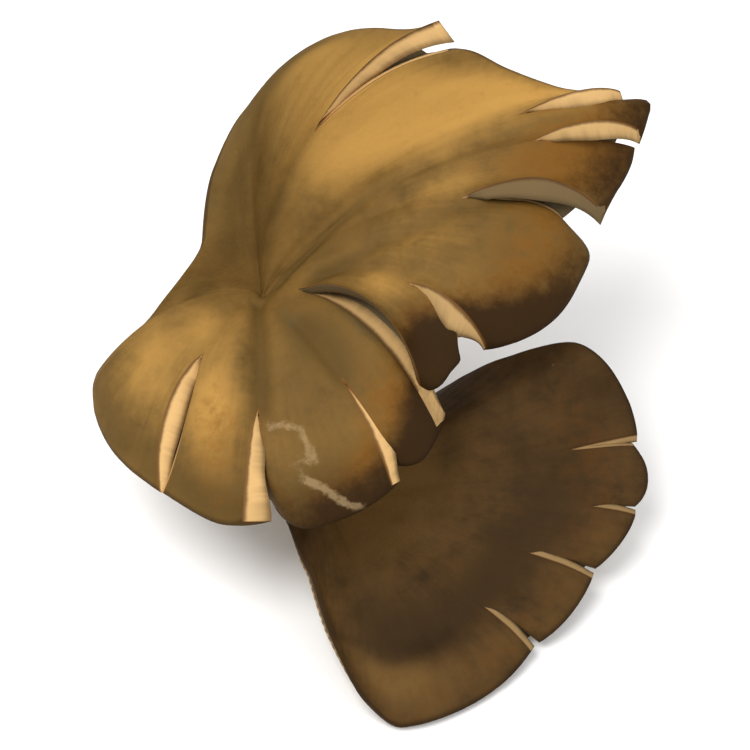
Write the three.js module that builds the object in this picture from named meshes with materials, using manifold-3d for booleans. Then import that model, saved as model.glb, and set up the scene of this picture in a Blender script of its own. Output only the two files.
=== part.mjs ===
// An oyster mushroom cluster as picked: two funnel-shaped caps on off-centre stems that
// grow from one cut butt. The upper cap is a wide twisted fan, torn into nine lobes. The
// lower cap is a shallow shell under it, torn four times at its margin.
// Millimetres, +Z up, origin at the middle of the cut face that the cluster stands on.

import * as THREE from "three";
import { mergeVertices } from "three/addons/utils/BufferGeometryUtils.js";
import Module from "manifold-3d";

const wasm = await Module();
wasm.setup();

// Layers, measured down from a cap's upper skin
const CAP_THICKNESS_AT_RIM = 1.3;
const CAP_THICKNESS_AT_THROAT = 3.4;
const LAYER_GAP = 0.35;
const CLEARANCE = 0.2; // the least gap that is left wherever layers meet
const SLIVER = 0.01;
const GILL_PLATE = 0.8;
const GILL_DEPTH = 2.6;

// Where things lie along a rib, from 0 at the throat to 1 at the margin
const CAP_ROWS = [0, 0.12, 0.24, 0.36, 0.5, 0.62, 0.74, 0.82, 0.92, 1];
const GILL_ROWS = [0, 0.12, 0.24, 0.36, 0.5, 0.62, 0.74, 0.82, 0.9, 0.96];
const STEM_JOIN_ROW = 2;
const SHORT_GILLS_END = 0.45;
const FIRST_PLATE_ROW = 1;
const FILLET_STEPS = [0, 0.3, 0.65]; // where the stem's flare is cut into wedges

const COLUMN_WIDTH = 7.3; // along the margin
const GILLS_PER_COLUMN = 2;

// The ribs of a cap: at is the compass direction of the margin in degrees from +X, and
// bend turns the rib by some degrees on its way in. reach and rise lead from the throat
// to the margin, start and end are the slopes in degrees at the throat and at the margin,
// and dip and curl are how many millimetres those slopes are held. gills scales the depth
// of the gills.
const UPPER_CAP = {
  throat: [-7.7, 3.3, 38],
  middle: 0, // the direction that its gills spread from
  ribs: [
    { at: -170, bend: -14, reach: 22, rise: 0, start: 50, dip: 7, end: -30, curl: 8, gills: 0 },
    { at: -158, bend: -20, reach: 36, rise: -9, start: 55, dip: 8, end: -60, curl: 15, gills: 1 },
    { at: -139, bend: -25, reach: 41, rise: -12, start: 58, dip: 9, end: -62, curl: 17, gills: 1 },
    { at: -115, bend: -26, reach: 44, rise: -12, start: 58, dip: 9, end: -52, curl: 18, gills: 1 },
    { at: -96, bend: -8, reach: 48.5, rise: -12, start: 60, dip: 9, end: -50, curl: 20, gills: 1 },
    { at: -77, bend: 0, reach: 51, rise: -10, start: 60, dip: 9, end: -45, curl: 20, gills: 1 },
    { at: -58, bend: 2, reach: 50, rise: -8, start: 58, dip: 9, end: -45, curl: 20, gills: 1 },
    { at: -44, bend: 26, reach: 48, rise: -4, start: 56, dip: 10, end: -45, curl: 20, gills: 1 },
    { at: -30, bend: 48, reach: 43, rise: 2, start: 50, dip: 12, end: -45, curl: 16, gills: 1 },
    { at: -20, bend: 50, reach: 51, rise: 4, start: 45, dip: 12, end: -45, curl: 20, gills: 1 },
    { at: -10, bend: 46, reach: 60, rise: 7, start: 42, dip: 13, end: -45, curl: 24, gills: 1 },
    { at: 0, bend: 40, reach: 65, rise: 10, start: 40, dip: 14, end: -42, curl: 24, gills: 1 },
    { at: 9, bend: 34, reach: 70, rise: 13, start: 40, dip: 15, end: -35, curl: 24, gills: 1 },
    { at: 17, bend: 29, reach: 79, rise: 18, start: 42, dip: 16, end: -25, curl: 26, gills: 1 },
    { at: 21.5, bend: 27, reach: 84, rise: 25, start: 46, dip: 18, end: -10, curl: 26, gills: 1 },
    { at: 28, bend: 28, reach: 73, rise: 25, start: 54, dip: 20, end: -10, curl: 24, gills: 1 },
    { at: 35, bend: 36, reach: 62, rise: 29, start: 60, dip: 22, end: -12, curl: 22, gills: 1 },
    { at: 44, bend: 45, reach: 51, rise: 38, start: 68, dip: 22, end: -10, curl: 18, gills: 1 },
    { at: 62, bend: 36, reach: 37, rise: 42, start: 70, dip: 24, end: -12, curl: 16, gills: 1 },
    { at: 99, bend: 12, reach: 15.5, rise: 37, start: 74, dip: 20, end: 0, curl: 9, gills: 0.5 },
    { at: 140, bend: 2, reach: 10.5, rise: 30, start: 72, dip: 14, end: 15, curl: 7, gills: 0.1 },
    { at: 170, bend: -6, reach: 11, rise: 16, start: 62, dip: 8, end: 10, curl: 6, gills: 0 },
  ],
  // Tears: at and apex say where one ends inward, and closed how far its lips meet again at
  // the margin. before and after are the lobes on its clockwise and counter-clockwise side.
  // A lobe's corner opens sideways, falls back from the margin and lifts, its lip arches up
  // on the way, and its flesh slopes under the gap, all in millimetres.
  tears: [
    {
      at: -115, apex: 0.5, closed: 0.85,
      before: { open: 3, back: 0, lift: 0, arch: 0, slope: 2.5 },
      after: { open: 2, back: 0, lift: 0, arch: 0, slope: 0.5 },
    },
    {
      at: -89, apex: 0.62, closed: 0,
      before: { open: 2.5, back: 5, lift: 1, arch: 1, slope: 3 },
      after: { open: 2, back: 8, lift: 0, arch: 0, slope: 0.5 },
    },
    {
      at: -56, apex: 0.62, closed: 0,
      before: { open: 1.5, back: 1, lift: 0, arch: 0.5, slope: 2 },
      after: { open: 1, back: 5, lift: 1, arch: 0, slope: 0.2 },
    },
    {
      at: -39, apex: 0.24, closed: 0,
      before: { open: 1, back: 1, lift: -2, arch: -1, slope: 2 },
      after: { open: 1.5, back: 7, lift: 1.5, arch: 4, slope: 0 },
    },
    {
      at: -22, apex: 0.62, closed: 0,
      before: { open: 1, back: 8, lift: 0, arch: 0, slope: 0.2 },
      after: { open: 1.5, back: 2, lift: 0, arch: 2, slope: 1.2 },
    },
    {
      at: 8, apex: 0.62, closed: 0,
      before: { open: 0.8, back: 8, lift: -1, arch: 0, slope: 0 },
      after: { open: 1.5, back: 0, lift: 0, arch: 4.5, slope: 2 },
    },
    {
      at: 18.5, apex: 0.74, closed: 0,
      before: { open: 0.8, back: 2, lift: -2, arch: 0, slope: 0 },
      after: { open: 1, back: 1, lift: 1, arch: 2.5, slope: 1.5 },
    },
    {
      at: 24, apex: 0.74, closed: 0,
      before: { open: 0.6, back: 1, lift: -1, arch: 0, slope: 0 },
      after: { open: 0.6, back: 2, lift: 1, arch: 2, slope: 1 },
    },
    {
      at: 44, apex: 0.5, closed: 0,
      before: { open: 1, back: 0, lift: -3, arch: 0, slope: 0 },
      after: { open: 2, back: 0, lift: 3, arch: 1, slope: 2.8 },
    },
  ],
};

const LOWER_CAP = {
  throat: [0, -24, 14],
  middle: -28,
  ribs: [
    { at: -146, bend: 0, reach: 6, rise: 0, start: 20, dip: 2, end: -10, curl: 2, gills: 0.1 },
    { at: -106, bend: 20, reach: 10, rise: 0, start: 15, dip: 4, end: 10, curl: 4, gills: 0.2 },
    { at: -83, bend: 25, reach: 22, rise: -1, start: -10, dip: 6, end: 20, curl: 7, gills: 0.2 },
    { at: -78, bend: 26, reach: 37, rise: -4, start: -15, dip: 12, end: 15, curl: 12, gills: 0.3 },
    { at: -74, bend: 26, reach: 48, rise: -8.3, start: -18, dip: 16, end: -5, curl: 14, gills: 0.5 },
    { at: -68, bend: 24, reach: 54, rise: -12.2, start: -18, dip: 18, end: -30, curl: 16, gills: 0.8 },
    { at: -56, bend: 18, reach: 56, rise: -12.2, start: -18, dip: 18, end: -30, curl: 16, gills: 0.8 },
    { at: -36, bend: 6, reach: 58, rise: -10.4, start: -18, dip: 18, end: -25, curl: 16, gills: 0.8 },
    { at: -16, bend: 0, reach: 63, rise: -6, start: -12, dip: 18, end: -15, curl: 16, gills: 0.8 },
    { at: -1, bend: -5, reach: 70, rise: 1, start: -6, dip: 18, end: -10, curl: 16, gills: 0.8 },
    { at: 11, bend: -12, reach: 67, rise: 11, start: 0, dip: 18, end: 0, curl: 16, gills: 0.8 },
    { at: 21, bend: -18, reach: 60, rise: 17, start: 5, dip: 16, end: 10, curl: 14, gills: 0.8 },
    { at: 28, bend: -20, reach: 46, rise: 12, start: 10, dip: 14, end: 20, curl: 12, gills: 0.5 },
    { at: 38, bend: -18, reach: 29, rise: 2, start: 15, dip: 8, end: 0, curl: 8, gills: 0.3 },
    { at: 70, bend: -12, reach: 8, rise: 0, start: 20, dip: 3, end: -10, curl: 3, gills: 0.1 },
    { at: 130, bend: 0, reach: 5.5, rise: 0, start: 20, dip: 2, end: -10, curl: 2, gills: 0.1 },
  ],
  tears: [
    {
      at: -36, apex: 0.74, closed: 0,
      before: { open: 1.2, back: 1, lift: 0.5, arch: 0, slope: 1.2 },
      after: { open: 0.5, back: 1, lift: -0.5, arch: 0, slope: 0 },
    },
    {
      at: -18, apex: 0.74, closed: 0,
      before: { open: 1.2, back: 1, lift: 0.5, arch: 0, slope: 1.2 },
      after: { open: 0.5, back: 1, lift: -0.5, arch: 0, slope: 0 },
    },
    {
      at: -6, apex: 0.82, closed: 0,
      before: { open: 1, back: 1, lift: 0.5, arch: 0, slope: 0.8 },
      after: { open: 0.5, back: 1, lift: -0.5, arch: 0, slope: 0 },
    },
    {
      at: 4.5, apex: 0.82, closed: 0,
      before: { open: 0.5, back: 2, lift: -0.5, arch: 0, slope: 0 },
      after: { open: 1, back: 1, lift: 0.5, arch: 0, slope: 0.8 },
    },
  ],
};

// Stems: rings from under the cap down to the end, each with its middle and radius
const UPPER_STEM = {
  towards: [0, 0, -1],
  rings: [
    { middle: [-5.5, 2, 22], radius: 10.5 },
    { middle: [-3, 1, 14], radius: 12 },
    { middle: [-1, 0, 7], radius: 15 },
    { middle: [0, 0, 2], radius: 18.5 },
    { middle: [0, 0, 0], radius: 17.5 },
  ],
  lumps: 0.06,
  width: 1,
  even: 0.2,
};
const LOWER_STEM = {
  towards: [0, 0.96, -0.28],
  rings: [
    { middle: [0, -19.5, 5], radius: 4.8 },
    { middle: [0, -14, 5.2], radius: 5 },
    { middle: [0, -4, 5.5], radius: 5 },
  ],
  lumps: 0,
  width: 1.4, // across, as a share of its height
  even: 0.6,
};
const FULL_DEPTH = 5;
const PATCH = 0.2;
const PATCH_WIDTH = 9;
const NEAR_THROAT = 8;
const AWAY_FROM_THROAT = 24;
const TEAR_SPREAD = 11; // how far along the margin a torn corner is pulled
const CUT_CLEAR = 4; // gills fade out this far from a tear

// The gills open less at a tear than the cap, and stay joined under a closed one
const CAP_LAYER = { opening: 1, slope: 1, joined: false };
const GILL_LAYER = { opening: 0.5, slope: 0, joined: true };

const radians = THREE.MathUtils.degToRad;
const mix = THREE.MathUtils.lerp;
const UP = new THREE.Vector3(0, 0, 1);

function capThickness(along) {
  return mix(CAP_THICKNESS_AT_THROAT, CAP_THICKNESS_AT_RIM, Math.min(1, along * 1.1));
}

// A smooth closed curve of one of the ribs' values over the compass, which never overshoots
function roundCurve(ribs, key) {
  const n = ribs.length;
  const wrap = (i) => ((i % n) + n) % n;
  const angle = (i) => ribs[wrap(i)].at + 360 * Math.floor(i / n);
  const value = (i) => ribs[wrap(i)][key];
  const secant = (i) => (value(i + 1) - value(i)) / (angle(i + 1) - angle(i));
  const slope = (i) => {
    const [a, b] = [secant(i - 1), secant(i)];
    return a * b <= 0 ? 0 : (2 * a * b) / (a + b);
  };
  return (direction) => {
    const d = ribs[0].at + ((((direction - ribs[0].at) % 360) + 360) % 360);
    let i = 0;
    while (i < n - 1 && angle(i + 1) <= d) i++;
    const width = angle(i + 1) - angle(i);
    const t = (d - angle(i)) / width;
    const [t2, t3] = [t * t, t * t * t];
    return (
      (2 * t3 - 3 * t2 + 1) * value(i) +
      (t3 - 2 * t2 + t) * width * slope(i) +
      (3 * t2 - 2 * t3) * value(i + 1) +
      (t3 - t2) * width * slope(i + 1)
    );
  };
}

// A cap's skin and the layers under it. A column is one line from throat to margin:
// {direction, position along the margin, side of a tear: -1 before it, 1 after it, or 0}
class Cap {
  constructor(shape) {
    this.shape = shape;
    this.throat = new THREE.Vector3(...shape.throat);
    this.curves = {};
    for (const key of Object.keys(shape.ribs[0]))
      if (key !== "at") this.curves[key] = roundCurve(shape.ribs, key);
    this.measureMargin();
    this.lobes = shape.tears.map((tear, i) => {
      const next = shape.tears[(i + 1) % shape.tears.length];
      const from = this.alongAt(tear.at);
      const length = (this.alongAt(next.at) - from + this.margin) % this.margin;
      return { from, length, tear, next };
    });
  }

  // The untorn skin
  base(direction, along) {
    const v = {};
    for (const key in this.curves) v[key] = this.curves[key](direction);
    const [start, end] = [radians(v.start), radians(v.end)];
    const [a, b, c] = [3 * (1 - along) ** 2 * along, 3 * (1 - along) * along ** 2, along ** 3];
    const out = a * v.dip * Math.cos(start) + b * (v.reach - v.curl * Math.cos(end)) + c * v.reach;
    const high = a * v.dip * Math.sin(start) + b * (v.rise - v.curl * Math.sin(end)) + c * v.rise;
    const turn = radians(direction + v.bend * (1 - along) ** 1.5);
    return new THREE.Vector3(out * Math.cos(turn), out * Math.sin(turn), high).add(this.throat);
  }

  // The way out of the skin, upwards. It is taken over a wide patch, and near the throat in
  // the rib's own upright plane, so that the layers don't cross.
  normal(direction, along) {
    const inner = this.base(direction, Math.max(along - PATCH, 0));
    const outward = this.base(direction, Math.min(along + PATCH, 1)).sub(inner);
    const fromThroat = this.base(direction, along).sub(this.throat).setZ(0);
    const distance = Math.max(fromThroat.length(), 0.5);
    const half = THREE.MathUtils.clamp(THREE.MathUtils.radToDeg(PATCH_WIDTH / distance), 8, 50);
    const around = this.base(direction + half, along).sub(this.base(direction - half, along));
    const turn = radians(direction + this.curves.bend(direction) * (1 - along) ** 1.5);
    const radial = new THREE.Vector3(Math.cos(turn), Math.sin(turn), 0);
    const run = Math.max(outward.dot(radial), 0.1);
    const upright = radial.multiplyScalar(-outward.z).setZ(run).normalize();
    const n = outward.cross(around).normalize();
    n.lerp(upright, 1 - THREE.MathUtils.smoothstep(distance, NEAR_THROAT, AWAY_FROM_THROAT));
    return UP.clone().lerp(n.normalize(), THREE.MathUtils.smoothstep(along, 0, 0.1)).normalize();
  }

  // How far the layers may go down before they fold in a tight bend, as a share of their depth
  room(direction, along) {
    const area = (depth) => {
      const at = (d, a) => this.base(d, a).addScaledVector(this.normal(d, a), -depth);
      const s = Math.min(Math.max(along, 0.06), 0.94);
      const outward = at(direction, s + 0.05).sub(at(direction, s - 0.05));
      const around = at(direction + 2, s).sub(at(direction - 2, s));
      return outward.cross(around).dot(this.normal(direction, s));
    };
    const shrink = (1 - area(2) / area(0)) / 2;
    const room = THREE.MathUtils.clamp(0.55 / Math.max(shrink * FULL_DEPTH, 0.01), 0.3, 1);
    return mix(1, room, THREE.MathUtils.smoothstep(along, 0, 0.1));
  }

  // The length of the margin at every degree
  measureMargin() {
    this.marks = [0];
    for (let d = 1; d <= 360; d++)
      this.marks.push(this.marks[d - 1] + this.base(d, 1).distanceTo(this.base(d - 1, 1)));
    this.margin = this.marks[360];
  }

  alongAt(direction) {
    const d = ((direction % 360) + 360) % 360;
    const low = Math.floor(d);
    return mix(this.marks[low], this.marks[low + 1], d - low);
  }

  // How many degrees a column would move to share out the compass evenly with the others
  crowding(direction) {
    const lag = (d) => (360 * this.alongAt(d)) / this.margin - (((d % 360) + 360) % 360);
    return lag(direction) - lag(this.shape.middle);
  }

  directionAt(position) {
    const p = ((position % this.margin) + this.margin) % this.margin;
    let low = 0;
    while (low < 359 && this.marks[low + 1] <= p) low++;
    return low + (p - this.marks[low]) / (this.marks[low + 1] - this.marks[low]);
  }

  // The direction of a column, the same number on both sides of a tear
  directionOf(lobe, within) {
    if (within < 1e-6) return lobe.tear.at;
    if (lobe.length - within < 1e-6) return lobe.next.at;
    return this.directionAt(lobe.from + within);
  }

  // A point at some depth under the torn skin. lobe is where the column belongs, and
  // within is its distance from the lobe's first tear along the margin.
  point(lobe, within, along, depth, layer = CAP_LAYER) {
    const direction = this.directionOf(lobe, within);
    const p = this.base(direction, along);
    const turn = radians(direction + this.curves.bend(direction) * (1 - along) ** 1.5);
    const sideways = new THREE.Vector3(-Math.sin(turn), Math.cos(turn), 0);
    const inward = new THREE.Vector3(-Math.cos(turn), -Math.sin(turn), 0);
    const ends = [
      { tear: lobe.tear, corner: lobe.tear.after, distance: within, away: 1 },
      { tear: lobe.next, corner: lobe.next.before, distance: lobe.length - within, away: -1 },
    ];
    const spread = Math.min(TEAR_SPREAD, lobe.length / 2);
    for (const { tear, corner, distance, away } of ends) {
      const progress = Math.max(0, (along - tear.apex) / (1 - tear.apex));
      if (!progress || (tear.closed && layer.joined)) continue;
      const near = Math.max(0, 1 - distance / spread) ** 2;
      const pull = progress ** 0.8 * near;
      const hump = 4 * progress * (1 - progress) * near;
      const opening = mix(pull, hump, tear.closed);
      p.addScaledVector(sideways, away * corner.open * opening * layer.opening);
      p.addScaledVector(inward, corner.back * progress ** 3 * near);
      p.addScaledVector(UP, corner.lift * pull + corner.arch * hump);
      const under = layer.slope * Math.min(1, depth / capThickness(along));
      p.addScaledVector(sideways, -away * corner.slope * under * opening);
    }
    const room = depth ? this.room(direction, along) : 1;
    return p.addScaledVector(this.normal(direction, along), -depth * room);
  }

  // 0 at a torn edge, growing to 1 away from it
  wholeness(lobe, within, along) {
    let value = 1;
    const ends = [
      [lobe.tear, within],
      [lobe.next, lobe.length - within],
    ];
    for (const [tear, distance] of ends)
      if (along > tear.apex - 0.05 && !tear.closed) value *= Math.min(1, distance / CUT_CLEAR);
    return value;
  }

  // The columns of every lobe, evenly spaced along the margin
  columns() {
    return this.lobes.map((lobe) => {
      const count = Math.max(3, Math.round(lobe.length / COLUMN_WIDTH));
      return Array.from({ length: count + 1 }, (_, i) => (lobe.length * i) / count);
    });
  }
}

// Gathers triangles and closes them into one geometry
class Surface {
  constructor() {
    this.values = [];
  }

  triangle(a, b, c) {
    for (const p of [a, b, c]) this.values.push(p.x, p.y, p.z);
  }

  quad(a, b, c, d) {
    this.triangle(a, b, c);
    this.triangle(a, c, d);
  }

  // Joins a long edge a-b to a finer line of points that runs beside it
  stitch(a, b, fine) {
    const half = Math.floor((fine.length - 1) / 2);
    for (let i = 0; i < half; i++) this.triangle(a, fine[i + 1], fine[i]);
    this.triangle(a, b, fine[half]);
    for (let i = half; i < fine.length - 1; i++) this.triangle(b, fine[i + 1], fine[i]);
  }

  solid() {
    const g = new THREE.BufferGeometry();
    g.setAttribute("position", new THREE.Float32BufferAttribute(this.values, 3));
    const merged = mergeVertices(g, 1e-3);
    const index = merged.index.array;
    const kept = [];
    for (let i = 0; i < index.length; i += 3) {
      const [a, b, c] = index.slice(i, i + 3);
      if (a !== b && b !== c && c !== a) kept.push(a, b, c);
    }
    const mesh = new wasm.Mesh({
      numProp: 3,
      vertProperties: new Float32Array(merged.attributes.position.array),
      triVerts: new Uint32Array(kept),
    });
    return new wasm.Manifold(mesh);
  }
}

// The brown cap: a torn sheet of flesh with its skin, fused from one wedge a column
function capSolid(cap) {
  const last = CAP_ROWS.length - 1;
  const wedges = cap.columns().flatMap((columns, l) => {
    const lobe = cap.lobes[l];
    const face = (w, depth) => CAP_ROWS.map((s) => cap.point(lobe, w, s, depth(s)));
    const top = columns.map((w) => face(w, () => 0));
    const bottom = columns.map((w) => face(w, capThickness));
    return columns.slice(1).map((_, i) => {
      const [c, d] = [i, i + 1];
      const wedge = new Surface();
      for (let r = 0; r < last; r++) {
        wedge.quad(top[c][r], top[c][r + 1], top[d][r + 1], top[d][r]);
        wedge.quad(bottom[c][r], bottom[d][r], bottom[d][r + 1], bottom[c][r + 1]);
        wedge.quad(top[c][r], bottom[c][r], bottom[c][r + 1], top[c][r + 1]);
        wedge.quad(top[d][r], top[d][r + 1], bottom[d][r + 1], bottom[d][r]);
      }
      wedge.quad(top[c][last], bottom[c][last], bottom[d][last], top[d][last]);
      return wedge.solid();
    });
  });
  return wasm.Manifold.union(wedges);
}

// How deep a gill hangs: nothing at the margin and between gills, and a short gill ends
// before it reaches the stem
function gillDepth(cap, direction, step, along, width) {
  if (step % 2 === 0) return 0;
  const short = step % 4 === 3;
  const outer = THREE.MathUtils.smoothstep(0.97 - along, 0, 0.16);
  const inner = short ? THREE.MathUtils.smoothstep(along, SHORT_GILLS_END - 0.1, SHORT_GILLS_END + 0.15) : 1;
  const depth = Math.min(GILL_DEPTH * cap.curves.gills(direction), 1.3 * width);
  return depth * outer * inner;
}

// The pale part: a thin plate under the cap with gills below, and the stem that it runs
// down into, fused from wedges
function stemSolid(cap, stem) {
  const plateTop = (s) => capThickness(s) + LAYER_GAP;
  const plateBottom = (s) => plateTop(s) + GILL_PLATE;
  const steps = 2 * GILLS_PER_COLUMN;
  const wedges = cap.columns().flatMap((columns, l) => {
    const lobe = cap.lobes[l];
    const at = (w, s, depth) => cap.point(lobe, w, s, depth, GILL_LAYER);
    const top = columns.map((w) => GILL_ROWS.map((s) => at(w, s, plateTop(s))));
    const bottom = columns.map((w) => GILL_ROWS.map((s) => at(w, s, plateBottom(s))));
    const stemLines = columns.map((w, c) => stemLine(cap, stem, lobe, w, bottom[c]));
    return columns.slice(1).flatMap((_, column) => {
      const [c, d] = [column, column + 1];
      const fine = [];
      for (let i = 0; i <= steps; i++) {
        const w = mix(columns[c], columns[d], i / steps);
        const direction = cap.directionOf(lobe, w);
        const width = (r) => bottom[c][r].distanceTo(bottom[d][r]) / steps;
        const whole = (s) => cap.wholeness(lobe, w, s);
        const gill = (s, r) => whole(s) * gillDepth(cap, direction, i, s, width(r));
        fine.push(GILL_ROWS.map((s, r) => at(w, s, plateBottom(s) + gill(s, r))));
      }
      return [
        gillWedge(top[c], top[d], fine),
        ...stemWedges(stem, top[c], top[d], stemLines[c], stemLines[d]),
      ];
    });
  });
  return wasm.Manifold.union(wedges);
}

// The plate and its gills between two columns
function gillWedge(near, far, fine) {
  const wedge = new Surface();
  const last = near.length - 1;
  const steps = fine.length - 1;
  const line = (r) => fine.map((f) => f[r]);
  wedge.stitch(near[FIRST_PLATE_ROW], far[FIRST_PLATE_ROW], line(FIRST_PLATE_ROW));
  for (let r = FIRST_PLATE_ROW; r < last; r++) {
    wedge.quad(near[r], near[r + 1], far[r + 1], far[r]);
    wedge.quad(near[r], fine[0][r], fine[0][r + 1], near[r + 1]);
    wedge.quad(far[r], far[r + 1], fine[steps][r + 1], fine[steps][r]);
    for (let i = 0; i < steps; i++)
      wedge.quad(fine[i][r], fine[i + 1][r], fine[i + 1][r + 1], fine[i][r + 1]);
  }
  wedge.stitch(far[last], near[last], line(last).reverse());
  return wedge.solid();
}

// The stem's share between two columns: its head under the throat, then one convex wedge
// between two rings
function stemWedges(stem, topNear, topFar, near, far) {
  const throat = topNear[0];
  const middles = stem.rings.map(({ middle }) => new THREE.Vector3(...middle));
  const below = FILLET_STEPS.map((t) => throat.clone().lerp(middles[0], 0.2 + 0.8 * t));
  const axis = [...below, ...middles];
  const head = [topNear, topFar].flatMap((top) => top.slice(0, STEM_JOIN_ROW + 1));
  const wedges = [wedgeOver([...head, near[0], far[0], axis[0]])];
  for (let i = 0; i < near.length - 1; i++)
    wedges.push(wedgeOver([axis[i], axis[i + 1], near[i], near[i + 1], far[i], far[i + 1]]));
  return wedges;
}

function wedgeOver(points) {
  return wasm.Manifold.hull(points.map((p) => p.toArray()));
}

// One line down the stem, from under the gill plate to the rim of the stem's end
function stemLine(cap, stem, lobe, within, bottom) {
  const margin = cap.directionOf(lobe, within);
  const direction = radians(margin + 0.8 * cap.curves.bend(margin) + stem.even * cap.crowding(margin));
  const axis = new THREE.Vector3(...stem.towards).normalize();
  const across = new THREE.Vector3(1, 0, 0).addScaledVector(axis, -axis.x).normalize();
  const behind = across.clone().cross(axis);
  const spoke = across.multiplyScalar(stem.width * Math.cos(direction));
  spoke.addScaledVector(behind, Math.sin(direction));
  const lump = 1 + stem.lumps * (Math.sin(2 * direction + 1) + 0.7 * Math.sin(5 * direction));
  const rings = stem.rings.map(({ middle, radius }) =>
    new THREE.Vector3(...middle).addScaledVector(spoke, radius * lump),
  );
  const from = bottom[STEM_JOIN_ROW];
  const inward = bottom[STEM_JOIN_ROW - 1].clone().sub(from).normalize();
  const length = from.distanceTo(rings[0]);
  const turn = THREE.MathUtils.smoothstep(inward.dot(axis), -0.3, 0.4);
  const control1 = from.clone().addScaledVector(inward, 0.3 * length * turn);
  const control2 = rings[0].clone().addScaledVector(axis, -length * 0.4);
  const fillet = new THREE.CubicBezierCurve3(from, control1, control2, rings[0]);
  return [...FILLET_STEPS.map((t) => fillet.getPoint(t)), ...rings];
}

// The largest body of a solid, without the crumbs and slivers that cutting leaves
function withoutCrumbs(manifold) {
  const bodies = manifold.asOriginal().simplify(SLIVER).decompose();
  return bodies.sort((a, b) => b.volume() - a.volume())[0];
}

function geometryOf(manifold) {
  const mesh = manifold.getMesh();
  const g = new THREE.BufferGeometry();
  g.setAttribute("position", new THREE.Float32BufferAttribute(mesh.vertProperties, 3));
  g.setIndex(Array.from(mesh.triVerts));
  g.computeVertexNormals();
  return g;
}

const upperCap = new Cap(UPPER_CAP);
const lowerCap = new Cap(LOWER_CAP);

const brown = (color) => new THREE.MeshStandardMaterial({ color, roughness: 0.6, metalness: 0 });
const pale = new THREE.MeshStandardMaterial({ color: 0xd9c7a3, roughness: 0.8, metalness: 0 });

// Cuts a cap out of a body, with some clearance on every side
function keepClear(body, cap) {
  const sides = [-CLEARANCE, CLEARANCE].flatMap((c) => [[c, 0, 0], [0, c, 0], [0, 0, c]]);
  return sides.reduce((rest, side) => rest.subtract(cap.translate(side)), body.subtract(cap));
}

const upperCapSolid = capSolid(upperCap);
const lowerCapSolid = capSolid(lowerCap);
const stems = stemSolid(upperCap, UPPER_STEM).add(stemSolid(lowerCap, LOWER_STEM));
const pieces = {
  upper_cap: [upperCapSolid, brown(0xa88246)],
  lower_cap: [lowerCapSolid, brown(0x6b4a26)],
  gills_and_stems: [keepClear(keepClear(stems, upperCapSolid), lowerCapSolid), pale],
};
const cluster = new THREE.Group();
for (const [name, [manifold, material]] of Object.entries(pieces)) {
  const mesh = new THREE.Mesh(geometryOf(withoutCrumbs(manifold)), material);
  mesh.name = name;
  cluster.add(mesh);
}

export default cluster;
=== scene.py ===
"""An oyster mushroom cluster: two torn caps, the gills under them and the cut stems.

The caps are worked out in millimetres by the same ribs as the solids, with the same tears,
some of them a little wider or longer, and made metres at the end. The origin is the middle
of the butt's cut face.
"""

import math

import bmesh
import bpy
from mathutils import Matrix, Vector, noise


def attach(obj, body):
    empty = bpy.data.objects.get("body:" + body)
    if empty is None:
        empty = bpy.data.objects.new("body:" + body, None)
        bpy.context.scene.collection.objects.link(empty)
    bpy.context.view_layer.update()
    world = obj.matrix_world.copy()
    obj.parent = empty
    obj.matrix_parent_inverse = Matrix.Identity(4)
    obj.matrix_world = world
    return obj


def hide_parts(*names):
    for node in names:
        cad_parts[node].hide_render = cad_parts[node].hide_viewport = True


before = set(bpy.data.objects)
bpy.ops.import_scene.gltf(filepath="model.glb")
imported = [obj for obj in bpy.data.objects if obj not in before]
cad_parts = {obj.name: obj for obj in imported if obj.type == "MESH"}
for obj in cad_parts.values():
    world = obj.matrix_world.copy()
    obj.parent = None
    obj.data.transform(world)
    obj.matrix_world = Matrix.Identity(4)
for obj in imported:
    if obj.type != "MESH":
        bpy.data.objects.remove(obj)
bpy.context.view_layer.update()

MM = 0.001

# Layers, measured down from a cap's upper skin
FLESH_AT_RIM = 1.3
FLESH_AT_THROAT = 3.4
GAP = 0.35
PLATE = 0.8

# How far from a tear, along the margin, the flesh is pulled
TEAR_SPREAD = 11.0

# The patch of skin that gives the way down at a place: half its length along the rib, half
# its width in millimetres, and the distances from the throat between which it takes over
# from the rib alone
PATCH = 0.2
PATCH_WIDTH = 9
NEAR_THROAT = 8
AWAY_FROM_THROAT = 24

RIB_KEYS = ("at", "bend", "reach", "rise", "start", "dip", "end", "curl")

UPPER_THROAT = (-7.7, 3.3, 38.0)
UPPER_RIBS = [
    (-170, -14, 22, 0, 50, 7, -30, 8),
    (-158, -20, 36, -9, 55, 8, -60, 15),
    (-139, -25, 41, -12, 58, 9, -62, 17),
    (-115, -26, 44, -12, 58, 9, -52, 18),
    (-96, -8, 48.5, -12, 60, 9, -50, 20),
    (-77, 0, 51, -10, 60, 9, -45, 20),
    (-58, 2, 50, -8, 58, 9, -45, 20),
    (-44, 26, 48, -4, 56, 10, -45, 20),
    (-30, 48, 43, 2, 50, 12, -45, 16),
    (-20, 50, 51, 4, 45, 12, -45, 20),
    (-10, 46, 60, 7, 42, 13, -45, 24),
    (0, 40, 65, 10, 40, 14, -42, 24),
    (9, 34, 70, 13, 40, 15, -35, 24),
    (17, 29, 79, 18, 42, 16, -25, 26),
    (21.5, 27, 84, 25, 46, 18, -10, 26),
    (28, 28, 73, 25, 54, 20, -10, 24),
    (35, 36, 62, 29, 60, 22, -12, 22),
    (44, 45, 51, 38, 68, 22, -10, 18),
    (62, 36, 37, 42, 70, 24, -12, 16),
    (99, 12, 15.5, 37, 74, 20, 0, 9),
    (140, 2, 10.5, 30, 72, 14, 15, 7),
    (170, -6, 11, 16, 62, 8, 10, 6),
]

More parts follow.
